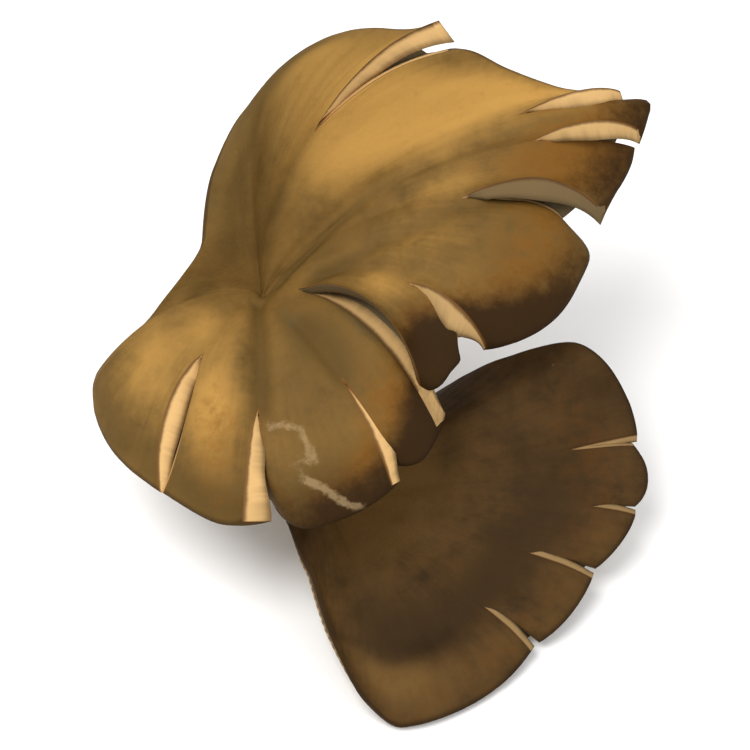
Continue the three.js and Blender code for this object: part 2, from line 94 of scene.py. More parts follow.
LOWER_THROAT = (0.0, -24.0, 14.0)
LOWER_RIBS = [
    (-146, 0, 6, 0, 20, 2, -10, 2),
    (-106, 20, 10, 0, 15, 4, 10, 4),
    (-83, 25, 22, -1, -10, 6, 20, 7),
    (-78, 26, 37, -4, -15, 12, 15, 12),
    (-74, 26, 48, -8.3, -18, 16, -5, 14),
    (-68, 24, 54, -12.2, -18, 18, -30, 16),
    (-56, 18, 56, -12.2, -18, 18, -30, 16),
    (-36, 6, 58, -10.4, -18, 18, -25, 16),
    (-16, 0, 63, -6, -12, 18, -15, 16),
    (-1, -5, 70, 1, -6, 18, -10, 16),
    (11, -12, 67, 11, 0, 18, 0, 16),
    (21, -18, 60, 17, 5, 16, 10, 14),
    (28, -20, 46, 12, 10, 14, 20, 12),
    (38, -18, 29, 2, 15, 8, 0, 8),
    (70, -12, 8, 0, 20, 3, -10, 3),
    (130, 0, 5.5, 0, 20, 2, -10, 2),
]

# Tears: direction, apex along the rib, how far it closes again at the margin, and for the
# lobe before and after it: how much its corner opens, falls back and lifts, how much its
# lip arches, how far its torn wall leans into the gap at the apex, halfway and at the
# margin, and how pale that wall is, lower where the wall carries painted shade
UPPER_TEARS = [
    (-115, 0.50, 0.85, (3, 0, 0, 0, 2.4, 3.9, 2.0, 1), (2, 0, 0, 0, 0.6, 0.9, 1.2, 0.5)),
    (-89, 0.62, 0, (3.5, 2, 1, 1, 1, 3.2, 5.6, 0.8), (2, 8, 0, 0, 0.3, 0.4, 0.4, 0.3)),
    (-56, 0.62, 0, (1.5, 1, 0, 0.5, 0.3, 4.2, 2.0, 0.8), (1, 5, 1, 0, 0.3, 0.4, 0.2, 0.5)),
    (-39, 0.24, 0, (1, 1, -2, -1, 4.6, 5.4, 3.2, 0.7), (1.5, 7, 1.5, 4, 0, 0, 0, 0)),
    (-22, 0.62, 0, (1, 8, 0, 0, 0.6, 0.8, 0.6, 0.9), (1.5, 2, 0, 2, 2.5, 6, 0.5, 0.5)),
    (8, 0.62, 0, (0.8, 8, -1, 0, 0.8, 1.5, 1, 0.9), (3, 0, 0, 4.5, 2, 5, 3.4, 0.12)),
    (18.5, 0.74, 0, (0.8, 2, -2, 0, 0.1, 0.2, 0.2, 0.5), (1, 1, 1, 2.5, 1.5, 4.2, 3.2, 0.6)),
    (24, 0.74, 0, (0.6, 1, -1, 0, 0.1, 0.2, 0.2, 0.5), (0.6, 2, 1, 2, 1, 4, 3, 0.75)),
    (44, 0.50, 0, (1, 0, -3, 0, 0.3, 0.6, 0.6, 1), (2, 0, 3, 1, 3.5, 7.2, 8, 1)),
]
LOWER_TEARS = [
    (-36, 0.74, 0, (1.2, 1, 0.5, 0, 1.5, 1.8, 1.5, 0.32), (2.2, 1, -0.5, 0, 0, 0, 0, 0)),
    (-18, 0.74, 0, (1.2, 1, 0.5, 0, 1.5, 1.8, 1.5, 0.32), (2.2, 1, -0.5, 0, 0, 0, 0, 0)),
    (-6, 0.82, 0, (1, 1, 0.5, 0, 1.1, 1.5, 1.3, 0.3), (1.9, 1, -0.5, 0, 0, 0, 0, 0)),
    (4.5, 0.74, 0, (0.8, 2, -0.5, 0, 0.3, 0.8, 0.8, 0.3), (1.2, 1, 0.5, 0, 1, 2, 1.6, 0.35)),
]


def clamp(x, low=0.0, high=1.0):
    return max(low, min(high, x))


def mix(a, b, t):
    return a + (b - a) * t


def smooth(x, low=0.0, high=1.0):
    t = clamp((x - low) / (high - low))
    return t * t * (3 - 2 * t)


def flesh(along):
    return mix(FLESH_AT_THROAT, FLESH_AT_RIM, min(1.0, along * 1.1))


def under_plate(along):
    return flesh(along) + GAP + PLATE


def wall_lean(corner, progress):
    """How far a torn wall leans into the gap, from the apex at 0 to the margin at 1."""
    start, middle, end = corner[4:7]
    lean = mix(mix(start, middle, smooth(progress, 0, 0.5)), end, smooth(progress, 0.5, 1))
    return lean * smooth(progress, 0, 0.15)


class Tear:
    def __init__(self, at, apex, closed, before, after):
        self.at, self.apex, self.closed = at, apex, closed
        self.before, self.after = before, after


class Lobe:
    def __init__(self, start, length, tear, following):
        self.start, self.length = start, length
        self.tear, self.following = tear, following


class Cap:
    """A cap's skin over the compass, its tears, and the way down into its flesh."""

    STEP = 0.5

    def __init__(self, throat, ribs, tears):
        self.throat = Vector(throat)
        self.ribs = ribs
        count = int(360 / self.STEP)
        self.table = [
            [self.between_ribs(i * self.STEP, key) for key in range(1, len(RIB_KEYS))]
            for i in range(count)
        ]
        self.measure_margin()
        self.tears = [Tear(*tear) for tear in tears]
        self.lobes = []
        for i, tear in enumerate(self.tears):
            following = self.tears[(i + 1) % len(self.tears)]
            start = self.position(tear.at)
            length = (self.position(following.at) - start) % self.margin
            self.lobes.append(Lobe(start, length, tear, following))
        self.make_ways_down()

    def between_ribs(self, direction, key):
        """A smooth closed curve through the ribs' values, which never overshoots."""
        ribs = self.ribs
        n = len(ribs)

        def angle(i):
            return ribs[i % n][0] + 360 * (i // n)

        def value(i):
            return ribs[i % n][key]

        def secant(i):
            return (value(i + 1) - value(i)) / (angle(i + 1) - angle(i))

        def slope(i):
            a, b = secant(i - 1), secant(i)
            return 0.0 if a * b <= 0 else 2 * a * b / (a + b)

        d = ribs[0][0] + (direction - ribs[0][0]) % 360
        i = 0
        while i < n - 1 and angle(i + 1) <= d:
            i += 1
        width = angle(i + 1) - angle(i)
        t = (d - angle(i)) / width
        return (
            (2 * t**3 - 3 * t**2 + 1) * value(i)
            + (t**3 - 2 * t**2 + t) * width * slope(i)
            + (3 * t**2 - 2 * t**3) * value(i + 1)
            + (t**3 - t**2) * width * slope(i + 1)
        )

    def values(self, direction):
        x = (direction % 360) / self.STEP
        low = int(x)
        a = self.table[low % len(self.table)]
        b = self.table[(low + 1) % len(self.table)]
        t = x - low
        return [p + (q - p) * t for p, q in zip(a, b)]

    def turn(self, direction, along):
        return math.radians(direction + self.values(direction)[0] * (1 - along) ** 1.5)

    def base(self, direction, along):
        """The untorn skin."""
        bend, reach, rise, start, dip, end, curl = self.values(direction)
        start, end = math.radians(start), math.radians(end)
        away = 1 - along
        a, b, c = 3 * away**2 * along, 3 * away * along**2, along**3
        out = a * dip * math.cos(start) + b * (reach - curl * math.cos(end)) + c * reach
        high = a * dip * math.sin(start) + b * (rise - curl * math.sin(end)) + c * rise
        turn = math.radians(direction + bend * away**1.5)
        return self.throat + Vector((out * math.cos(turn), out * math.sin(turn), high))

    def measure_margin(self):
        marks = [0.0]
        before = self.base(0, 1)
        for d in range(1, 361):
            point = self.base(d, 1)
            marks.append(marks[-1] + (point - before).length)
            before = point
        self.marks, self.margin = marks, marks[-1]

    def position(self, direction):
        d = direction % 360
        low = int(d)
        return mix(self.marks[low], self.marks[low + 1], d - low)

    def across(self, position, direction):
        """Millimetres round the margin from a direction to a position, the shorter way."""
        half = self.margin / 2
        return (position - self.position(direction) + half) % self.margin - half

    def direction(self, position):
        p = position % self.margin
        low, high = 0, 360
        while high - low > 1:
            middle = (low + high) // 2
            if self.marks[middle] <= p:
                low = middle
            else:
                high = middle
        return low + (p - self.marks[low]) / (self.marks[low + 1] - self.marks[low])

    def normal(self, direction, along):
        ahead, behind = min(along + PATCH, 1), max(along - PATCH, 0)
        outward = self.base(direction, ahead) - self.base(direction, behind)
        out = self.base(direction, along) - self.throat
        distance = max(math.hypot(out.x, out.y), 0.5)
        half = clamp(math.degrees(PATCH_WIDTH / distance), 8, 50)
        around = self.base(direction + half, along) - self.base(direction - half, along)
        turn = self.turn(direction, along)
        radial = Vector((math.cos(turn), math.sin(turn), 0))
        run = max(outward.dot(radial), 0.1)
        upright = Vector((-radial.x * outward.z, -radial.y * outward.z, run)).normalized()
        n = outward.cross(around).normalized()
        n = n.lerp(upright, 1 - smooth(distance, NEAR_THROAT, AWAY_FROM_THROAT)).normalized()
        return Vector((0, 0, 1)).lerp(n, smooth(along, 0, 0.1)).normalized()

    def room(self, direction, along):
        """How far the layers may go down before they fold in a tight bend."""
        s = clamp(along, 0.06, 0.94)

        def area(depth):
            def at(d, a):
                return self.base(d, a) - depth * self.normal(d, a)

            outward = at(direction, s + 0.05) - at(direction, s - 0.05)
            around = at(direction + 2, s) - at(direction - 2, s)
            return outward.cross(around).dot(self.normal(direction, s))

        shrink = (1 - area(2) / area(0)) / 2
        return mix(1, clamp(0.55 / max(shrink * 5, 0.01), 0.3, 1), smooth(along, 0, 0.1))

    def make_ways_down(self):
        self.rows = 24
        self.ways = [
            [
                -self.room(d * 3, r / self.rows) * self.normal(d * 3, r / self.rows)
                for r in range(self.rows + 1)
            ]
            for d in range(120)
        ]

    def way_down(self, direction, along):
        x, y = (direction % 360) / 3, along * self.rows
        i, j = int(x), min(int(y), self.rows - 1)
        a, b = self.ways[i % 120], self.ways[(i + 1) % 120]
        return a[j].lerp(a[j + 1], y - j).lerp(b[j].lerp(b[j + 1], y - j), x - i)

    def direction_of(self, lobe, within):
        if within < 1e-3:
            return lobe.tear.at
        if lobe.length - within < 1e-3:
            return lobe.following.at
        return self.direction(lobe.start + within)

    def point(self, lobe, within, along, depth, share):
        """A point at some depth under the torn skin, and that share of the way down."""
        direction = self.direction_of(lobe, within)
        turn = self.turn(direction, along)
        sideways = Vector((-math.sin(turn), math.cos(turn), 0))
        inward = Vector((-math.cos(turn), -math.sin(turn), 0))
        down = self.way_down(direction, along)
        level = sideways - sideways.dot(down) / down.length_squared * down
        p = self.base(direction, along)
        spread = min(TEAR_SPREAD, lobe.length / 2)
        ends = (
            (lobe.tear, lobe.tear.after, within, 1),
            (lobe.following, lobe.following.before, lobe.length - within, -1),
        )
        for tear, corner, distance, away in ends:
            progress = max(0.0, (along - tear.apex) / (1 - tear.apex))
            near = max(0.0, 1 - distance / spread) ** 2
            if progress == 0 or near == 0:
                continue
            opens, back, lift, arch = corner[:4]
            pull = progress**0.8 * near
            hump = 4 * progress * (1 - progress) * near
            opening = mix(pull, hump, tear.closed)
            p = p + away * opens * opening * sideways
            p = p + back * progress**3 * near * inward
            p.z += lift * pull + arch * hump
            p = p - away * wall_lean(corner, progress) * share * near * level
        return p + depth * down

    def sheet_point(self, direction, along, depth):
        """A point of the untorn layer under the flesh, which keeps under both lips."""
        p = self.base(direction, along)
        turn = self.turn(direction, along)
        inward = Vector((-math.cos(turn), -math.sin(turn), 0))
        here = self.position(direction)
        for tear in self.tears:
            progress = max(0.0, (along - tear.apex) / (1 - tear.apex))
            away = abs(self.across(here, tear.at))
            near = max(0.0, 1 - away / TEAR_SPREAD) ** 2
            if progress == 0 or near == 0:
                continue
            pull = progress**0.8 * near
            hump = 4 * progress * (1 - progress) * near
            lips = (tear.before, tear.after)
            back = max(lip[1] for lip in lips) + (0 if tear.closed else 1)
            lift = min(min(lip[2] for lip in lips), 0)
            arch = min(min(lip[3] for lip in lips), 0)
            p = p + back * progress**3 * near * inward
            p.z += lift * pull + arch * hump
        return p + depth * self.way_down(direction, along)


# Meshes

# Millimetres between columns, rows from each place on to the next, shares of the depth
# that a wall has rows at, and how much closer the columns stand beside a tear
SKIN_STEP = 0.9
SKIN_BREAKS = (
    (0.0, 14),
    (0.24, 13),
    (0.5, 7),
    (0.62, 7),
    (0.74, 6),
    (0.82, 9),
    (0.95, 4),
    (1.0, 0),
)
WALL_DEPTHS = (0.3, 0.65, 1.0)
TEAR_CROWDING = 0.72
# A rib's usual length in millimetres, for patterns that follow the skin
RIB_LENGTH = 55


def skin_rows():
    """Rows along the ribs, with one at every tear's apex and finer ones at the margin."""
    rows = []
    for (low, steps), (high, _) in zip(SKIN_BREAKS, SKIN_BREAKS[1:]):
        rows += [mix(low, high, i / steps) for i in range(steps)]
    return rows + [1.0]


def relief(grain, along):
    """How far the skin stands proud, in millimetres: broad swells and soft radial folds."""
    across = Vector((grain.x, grain.y, 0))
    outward = Vector((0, 0, grain.z))
    swell = noise.noise(0.07 * grain)
    folds = noise.noise(0.3 * across + 0.035 * outward + Vector((7, 1, 3)))
    fibres = noise.noise(1.1 * across + 0.09 * outward + Vector((2, 9, 4)))
    fine = smooth(along, 0.3, 0.8) * (0.16 * folds + 0.04 * fibres)
    return smooth(along, 0.1, 0.5) * 0.6 * swell + fine


def grain_at(cap, position, along):
    """Seamless coordinates that follow the skin: round the margin, and along the rib."""
    radius = cap.margin / (2 * math.pi)
    turn = position / radius
    return Vector((radius * math.cos(turn), radius * math.sin(turn), RIB_LENGTH * along))


def patch_amount(patches, cap, position, along):
    """How much of a set of patches covers a place on the skin, 0 to 1 or more."""
    total = 0.0
    for direction, row, wide, long, strength in patches:
        x, y = cap.across(position, direction) / wide, (along - row) / long
        total += strength * math.exp(-(x * x + y * y))
    return total


def line_amounts(lines, cap, position, along):
    """For each line drawn on the skin, 1 on it, falling off to both sides."""
    girth = max(along, 0.12)
    amounts = []
    for _, wide, places in lines:
        nearest = 1e9
        for (d0, a0), (d1, a1) in zip(places, places[1:]):
            x, dx = cap.across(position, d0) * girth, cap.across(cap.position(d1), d0) * girth
            y, dy = (along - a0) * RIB_LENGTH, (a1 - a0) * RIB_LENGTH
            t = clamp((x * dx + y * dy) / max(dx * dx + dy * dy, 1e-6))
            nearest = min(nearest, math.hypot(x - t * dx, y - t * dy))
        amounts.append(math.exp(-((nearest / wide) ** 2)))
    return amounts


def mesh_piece(name, bm, finishes):
    """A finished object at the origin, in metres, smooth, with its faces outwards."""
    bmesh.ops.scale(bm, vec=(MM, MM, MM), verts=bm.verts[:])
    bmesh.ops.recalc_face_normals(bm, faces=bm.faces[:])
    for face in bm.faces:
        face.smooth = True
    mesh = bpy.data.meshes.new(name)
    bm.to_mesh(mesh)
    bm.free()
    piece = bpy.data.objects.new(name, mesh)
    bpy.context.scene.collection.objects.link(piece)
    for finish in finishes:
        mesh.materials.append(finish)
    return piece


def cap_piece(name, cap, patches, folds, marks, finishes):
    """A brown cap: its torn skin, drawn down through the flesh."""
    bm = bmesh.new()
    number = bm.verts.layers.int.new("lobe")
    place = bm.verts.layers.float_vector.new("place")
    grain = bm.verts.layers.float_vector.new("grain")
    rows = skin_rows()
    for i, lobe in enumerate(cap.lobes):
        columns = max(8, round(lobe.length / SKIN_STEP))
        grid = bmesh.ops.create_grid(bm, x_segments=columns, y_segments=len(rows) - 1, size=1)
        for v in grid["verts"]:
            t = (v.co.x + 1) / 2
            t -= TEAR_CROWDING * math.sin(2 * math.pi * t) / (2 * math.pi)
            row = rows[round((v.co.y + 1) / 2 * (len(rows) - 1))]
            v[number] = i
            v[place] = (t * lobe.length, row, 0)
    fold = bm.verts.layers.float.new("fold")
    tone_layers = {key: bm.verts.layers.float.new(key) for key in patches}
    for v in bm.verts:
        lobe = cap.lobes[v[number]]
        within, along, _ = v[place]
        position = lobe.start + within
        v[grain] = grain_at(cap, position, along)
        for key, layer in tone_layers.items():
            v[layer] = patch_amount(patches[key], cap, position, along)
        for (depth, _, _), amount in zip(folds, line_amounts(folds, cap, position, along)):
            v[fold] -= depth * amount
            # painted shade along each fold
            v[tone_layers["shade"]] += 0.6 * depth * amount
        for (strength, _, _), amount in zip(marks, line_amounts(marks, cap, position, along)):
            v[tone_layers["pale"]] += strength * amount
        v.co = skin_point(cap, lobe, v, place, grain, fold)
    bmesh.ops.remove_doubles(bm, verts=bm.verts[:], dist=1e-3)
    faces = bm.faces[:]
    for share in WALL_DEPTHS:
        extruded = bmesh.ops.extrude_face_region(bm, geom=faces)["geom"]
        for v in (g for g in extruded if isinstance(g, bmesh.types.BMVert)):
            within, along, _ = v[place]
            v[place] = (within, along, share)
            v.co = skin_point(cap, cap.lobes[v[number]], v, place, grain, fold)
        # The skin stays, and each layer between it and the underside goes
        if share > WALL_DEPTHS[0]:
            bmesh.ops.delete(bm, geom=faces, context="FACES")
        faces = [g for g in extruded if isinstance(g, bmesh.types.BMFace)]
    edge = bm.verts.layers.float.new("edge")
    cream = bm.verts.layers.float.new("cream")
    for v in bm.verts:
        lobe = cap.lobes[v[number]]
        v[edge] = distance_to_edge(lobe, v[place])
        first = v[place].x < lobe.length / 2
        v[cream] = (lobe.tear.after if first else lobe.following.before)[7]
    for face in bm.faces:
        skin = max(v[place].z for v in face.verts) == 0
        margin = min(v[place].y for v in face.verts) > 0.999
        face.material_index = 0 if skin or margin else 1
    return mesh_piece(name, bm, finishes)


def skin_point(cap, lobe, v, place, grain, fold):
    """A point of the flesh at a share of its depth, with soft lips at every edge."""
    within, along, share = v[place]
    margin = smooth(along, 0.985, 1.0)
    side = min(within, lobe.length - within)
    torn = along > (lobe.tear.apex if within < lobe.length / 2 else lobe.following.apex)
    lip = max(margin, (1 - smooth(side, 0, 0.5)) * 0.6 if torn else 0)
    depth = flesh(along) * share
    depth = mix(depth, mix(0.3, flesh(along) - 0.2, share), lip)
    p = cap.point(lobe, within, along, depth, share)
    up = -cap.way_down(cap.direction_of(lobe, within), along)
    return p + (1 - share) * (relief(v[grain], along) + v[fold]) * up


def distance_to_edge(lobe, place):
    """Millimetres to the nearest torn edge, up to 20."""
    within, along, _ = place
    nearest = 20.0
    for tear, away in ((lobe.tear, within), (lobe.following, lobe.length - within)):
        short = max(0.0, tear.apex - along) * 50
        nearest = min(nearest, math.hypot(away, short))
    return nearest


# Stems: rings from under the cap down to the end, each with its middle and radius
UPPER_STEM = {
    "towards": (0, 0, -1),
    "rings": (
        ((-5.5, 2, 22), 10.5),
        ((-3, 1, 14), 12),
        ((-1, 0, 7), 15),
        ((0, 0, 2), 18.5),
        ((0, 0, 0), 17.5),
    ),
    "lumps": 0.06,
    "width": 1,
    "even": 0.2,
    "middle": 0,
}
LOWER_STEM = {
    "towards": (0, 0.96, -0.28),
    "rings": (((0, -19.5, 5), 4.8), ((0, -14, 5.2), 5), ((0, -4, 5.5), 5)),
    "lumps": 0,
    "width": 1.4,
    "even": 0.6,
    "middle": -28,
}
# Where along the ribs the stem's lines start, and a place nearer the throat
JOIN = 0.24
UNDER = 0.12


class Stem:
    """The lines that run from under a cap's gill plate down a stem."""

    def __init__(self, cap, shape):
        self.cap, self.shape = cap, shape
        self.axis = Vector(shape["towards"]).normalized()
        self.across = (Vector((1, 0, 0)) - self.axis.x * self.axis).normalized()
        self.behind = self.across.cross(self.axis)

    def crowding(self, direction):
        cap = self.cap

        def lag(d):
            return 360 * cap.position(d) / cap.margin - d % 360

        return lag(direction) - lag(self.shape["middle"])

    def spoke(self, direction):
        turn = direction + 0.8 * self.cap.values(direction)[0]
        turn = math.radians(turn + self.shape["even"] * self.crowding(direction))
        wide = self.shape["width"] * math.cos(turn) * self.across
        lump = 1 + self.shape["lumps"] * (math.sin(2 * turn + 1) + 0.7 * math.sin(5 * turn))
        return lump * (wide + math.sin(turn) * self.behind)

    def flare(self, direction, t):
        """From the gill plate at 0 to the stem's first ring at 1."""
        cap = self.cap
        start = cap.sheet_point(direction, JOIN, under_plate(JOIN))
        inward = cap.sheet_point(direction, UNDER, under_plate(UNDER)) - start
        inward.normalize()
        middle, radius = self.shape["rings"][0]
        ring = Vector(middle) + radius * self.spoke(direction)
        length = (ring - start).length
        turn = smooth(inward.dot(self.axis), -0.3, 0.4)
        first = start + 0.3 * length * turn * inward
        second = ring - 0.4 * length * self.axis
        u = 1 - t
        return u**3 * start + 3 * u * u * t * first + 3 * u * t * t * second + t**3 * ring

    def shaft(self, direction, t):
        """From the first ring at 0 to the last at 1."""
        rings = self.shape["rings"]
        x = t * (len(rings) - 1)
        i = min(int(x), len(rings) - 2)
        a, b = rings[i], rings[i + 1]
        f = x - i
        middle = Vector(a[0]).lerp(Vector(b[0]), f)
        return middle + mix(a[1], b[1], f) * self.spoke(direction)


GILL_SPACING = 1.9
GILL_SAMPLES = 5
# Where along the ribs each of eight neighbouring gills ends, with one that runs on
GILL_ENDS = (0.0, 0.62, 0.42, 0.66, 0.3, 0.6, 0.45, 0.64)
# A gill's depth for its width, and where the plate ends along the ribs
GILL_SLIMNESS = 2.2
SHEET_EDGE = 0.945
GILL_TOP_ROWS = (0.18, 0.4, 0.62, 0.8, 0.9, SHEET_EDGE)
GILL_ROWS = 40
GILL_RUN_ROWS = 12


def gill_piece(name, cap, stem, deepest, finish):
    """The pale plate under a cap and its gills, which run on down the stem."""
    group = len(GILL_ENDS)
    whole = group * round(cap.margin / GILL_SPACING / group)
    columns = whole * GILL_SAMPLES
    under = [mix(SHEET_EDGE, JOIN, i / GILL_ROWS) for i in range(GILL_ROWS + 1)]
    top = len(GILL_TOP_ROWS)
    last = top + len(under) + GILL_RUN_ROWS
    bm = bmesh.new()
    ridge = bm.verts.layers.float.new("ridge")
    run = bm.verts.layers.float.new("run")
    upper_face = bm.verts.layers.float.new("upper_face")
    grid = bmesh.ops.create_grid(bm, x_segments=columns, y_segments=last + 1, size=1)
    inside = stem.shape["rings"][0][0]
    for v in grid["verts"]:
        column = round((v.co.x + 1) / 2 * columns) % columns
        row = round((v.co.y + 1) / 2 * (last + 1))
        position = column / columns * cap.margin
        direction = cap.direction(position)
        blade = gill_height(column)
        if row == 0:
            v.co = cap.throat + Vector((0, 0, -flesh(0) - 1))
        elif row <= top:
            along = GILL_TOP_ROWS[row - 1]
            v.co = cap.sheet_point(direction, along, flesh(along) + GAP)
            v[upper_face], v[run] = 1.0, along
        elif row <= top + len(under):
            along = under[row - top - 1]
            height, order = gill_reach(column, along, blade)
            width = cap.margin / whole * mix(0.2, 1, along)
            depth = min(deepest, GILL_SLIMNESS * width * order) * height
            depth *= smooth(SHEET_EDGE - along, 0, 0.1) * gill_share(cap, direction)
            v.co = cap.sheet_point(direction, along, under_plate(along) + depth)
            v[ridge], v[run] = height, along
        elif row <= last:
            t = (row - top - len(under)) / GILL_RUN_ROWS
            height, order = gill_reach(column, JOIN, blade)
            here = stem.flare(direction, t)
            above, below = max(t - 0.05, 0), min(t + 0.05, 1)
            ahead = stem.flare(direction, below) - stem.flare(direction, above)
            beside = stem.flare(direction + 2, t) - stem.flare(direction - 2, t)
            out = ahead.cross(beside).normalized()
            start = min(deepest, GILL_SLIMNESS * cap.margin / whole * 0.4 * order)
            start *= gill_share(cap, direction)
            rise = mix(start, 0, smooth(t, 0, 0.9)) * height
            v.co = here + (rise - 0.6 * smooth(t, 0.6, 1)) * out
            v[ridge], v[run] = height * (1 - t), JOIN * (1 - t)
        else:
            v.co = Vector(inside)
    bmesh.ops.remove_doubles(bm, verts=bm.verts[:], dist=1e-4)
    return mesh_piece(name, bm, [finish])


def gill_height(column):
    """0 between two gills to 1 on a blade's edge."""
    return (0.0, 0.35, 1.0, 1.0, 0.35)[column % GILL_SAMPLES]


def gill_reach(column, along, blade):
    """Short gills end on the way in, so that fewer reach the stem."""
    gill = column // GILL_SAMPLES
    ends = GILL_ENDS[gill % len(GILL_ENDS)]
    shown = smooth(along, ends, ends + 0.08) if ends else 1.0
    order = 1 if along > 0.6 else 2 if along > 0.42 else 4
    return blade * shown, order


def gill_share(cap, direction):
    """Gills are lower where the cap hardly stands out from its stem."""
    reach = cap.values(direction)[1]
    return smooth(reach, 8, 40)


STEM_COLUMNS = 220


def stem_piece(name, cap, stem, finish):
    """A stem from its head inside the cap to its end."""
    flare_rows, shaft_rows, end_rows = 16, 36, 6
    last = flare_rows + shaft_rows + end_rows
    bm = bmesh.new()
    run = bm.verts.layers.float.new("run")
    grid = bmesh.ops.create_grid(bm, x_segments=STEM_COLUMNS, y_segments=last, size=1)
    end = Vector(stem.shape["rings"][-1][0])
    for v in grid["verts"]:
        column = round((v.co.x + 1) / 2 * STEM_COLUMNS) % STEM_COLUMNS
        row = round((v.co.y + 1) / 2 * last)
        direction = cap.direction(column / STEM_COLUMNS * cap.margin)
        if row == 0:
            v.co = cap.throat + Vector((0, 0, -flesh(0) - 1))
            continue
        if row <= flare_rows:
            t = row / flare_rows
            v.co = stem.flare(direction, t)
            v[run] = 0.4 * t
        elif row <= flare_rows + shaft_rows:
            t = (row - flare_rows) / shaft_rows
            v.co = stem.shaft(direction, t)
            v[run] = 0.4 + 0.6 * t
        else:
            t = (row - flare_rows - shaft_rows) / end_rows
            v.co = stem.shaft(direction, 1).lerp(end, t)
            v[run] = 1.0
            continue
        way = Vector((v.co.x, v.co.y, v.co.z * 0.25))
        bulge = 0.5 * noise.noise(way * 0.12) + 0.25 * noise.noise(way * 0.45)
        off = v.co - Vector(stem.shape["rings"][1][0])
        off.z = 0
        if off.length > 1e-6 and v.co.z > 0.05:
            v.co = v.co + bulge * min(1, v[run] * 4) * off.normalized()
    bmesh.ops.remove_doubles(bm, verts=bm.verts[:], dist=1e-4)
    return mesh_piece(name, bm, [finish])


# Materials

class Value:
    """A number or colour inside a material, which can be used in sums."""

    def __init__(self, finish, socket):
        self.finish, self.socket = finish, socket

    def worked(self, operation, *others):
        inputs = {i: x for i, x in enumerate((self, *others))}
        return self.finish.node("ShaderNodeMath", {"operation": operation}, inputs)

    def __add__(self, other):
        return self.worked("ADD", other)

    __radd__ = __add__

    def __mul__(self, other):
        return self.worked("MULTIPLY", other)

    __rmul__ = __mul__

    def __sub__(self, other):
        return self.worked("SUBTRACT", other)

    def __rsub__(self, other):
        return (self * -1.0) + other

    def from_to(self, low, high):
        """0 at low to 1 at high, with a soft start and end."""
        settings = {"interpolation_type": "SMOOTHSTEP"}
        inputs = {"Value": self, "From Min": low, "From Max": high}
        return self.finish.node("ShaderNodeMapRange", settings, inputs)


class Finish:
    """A material, built from nodes that are asked for one at a time."""

    def __init__(self, name):
        self.material = bpy.data.materials.new(name)
        self.material.use_nodes = True
        self.tree = self.material.node_tree
        self.shader = self.tree.nodes["Principled BSDF"]

    def feed(self, socket, value):
        if isinstance(value, Value):
            self.tree.links.new(value.socket, socket)
        elif isinstance(value, tuple) and len(socket.default_value) == 4 and len(value) == 3:
            socket.default_value = (*value, 1)
        else:
            socket.default_value = value

    def node(self, kind, settings, inputs, output=0):
        node = self.tree.nodes.new(kind)
        for key, value in settings.items():
            setattr(node, key, value)
        for key, value in inputs.items():
            self.feed(node.inputs[key], value)
        return Value(self, node.outputs[output])

    def attribute(self, name, output="Fac"):
        return self.node("ShaderNodeAttribute", {"attribute_name": name}, {}, output)

    def blend(self, factor, a, b):
        settings = {"data_type": "RGBA"}
        return self.node("ShaderNodeMix", settings, {0: factor, 6: a, 7: b}, 2)

    def noise(self, vector, scale, detail, roughness):
        inputs = {"Vector": vector, "Scale": scale, "Detail": detail, "Roughness": roughness}
        return self.node("ShaderNodeTexNoise", {}, inputs)

    def stretched(self, vector, scale, offset=(0, 0, 0)):
        inputs = {"Vector": vector, "Scale": scale, "Location": offset}
        return self.node("ShaderNodeMapping", {}, inputs)

    def bump(self, height, distance, strength):
        inputs = {"Height": height, "Distance": distance, "Strength": strength}
        return self.node("ShaderNodeBump", {}, inputs)

    def surface(self, **sockets):
        for key, value in sockets.items():
            self.feed(self.shader.inputs[key.replace("_", " ")], value)
        return self.material


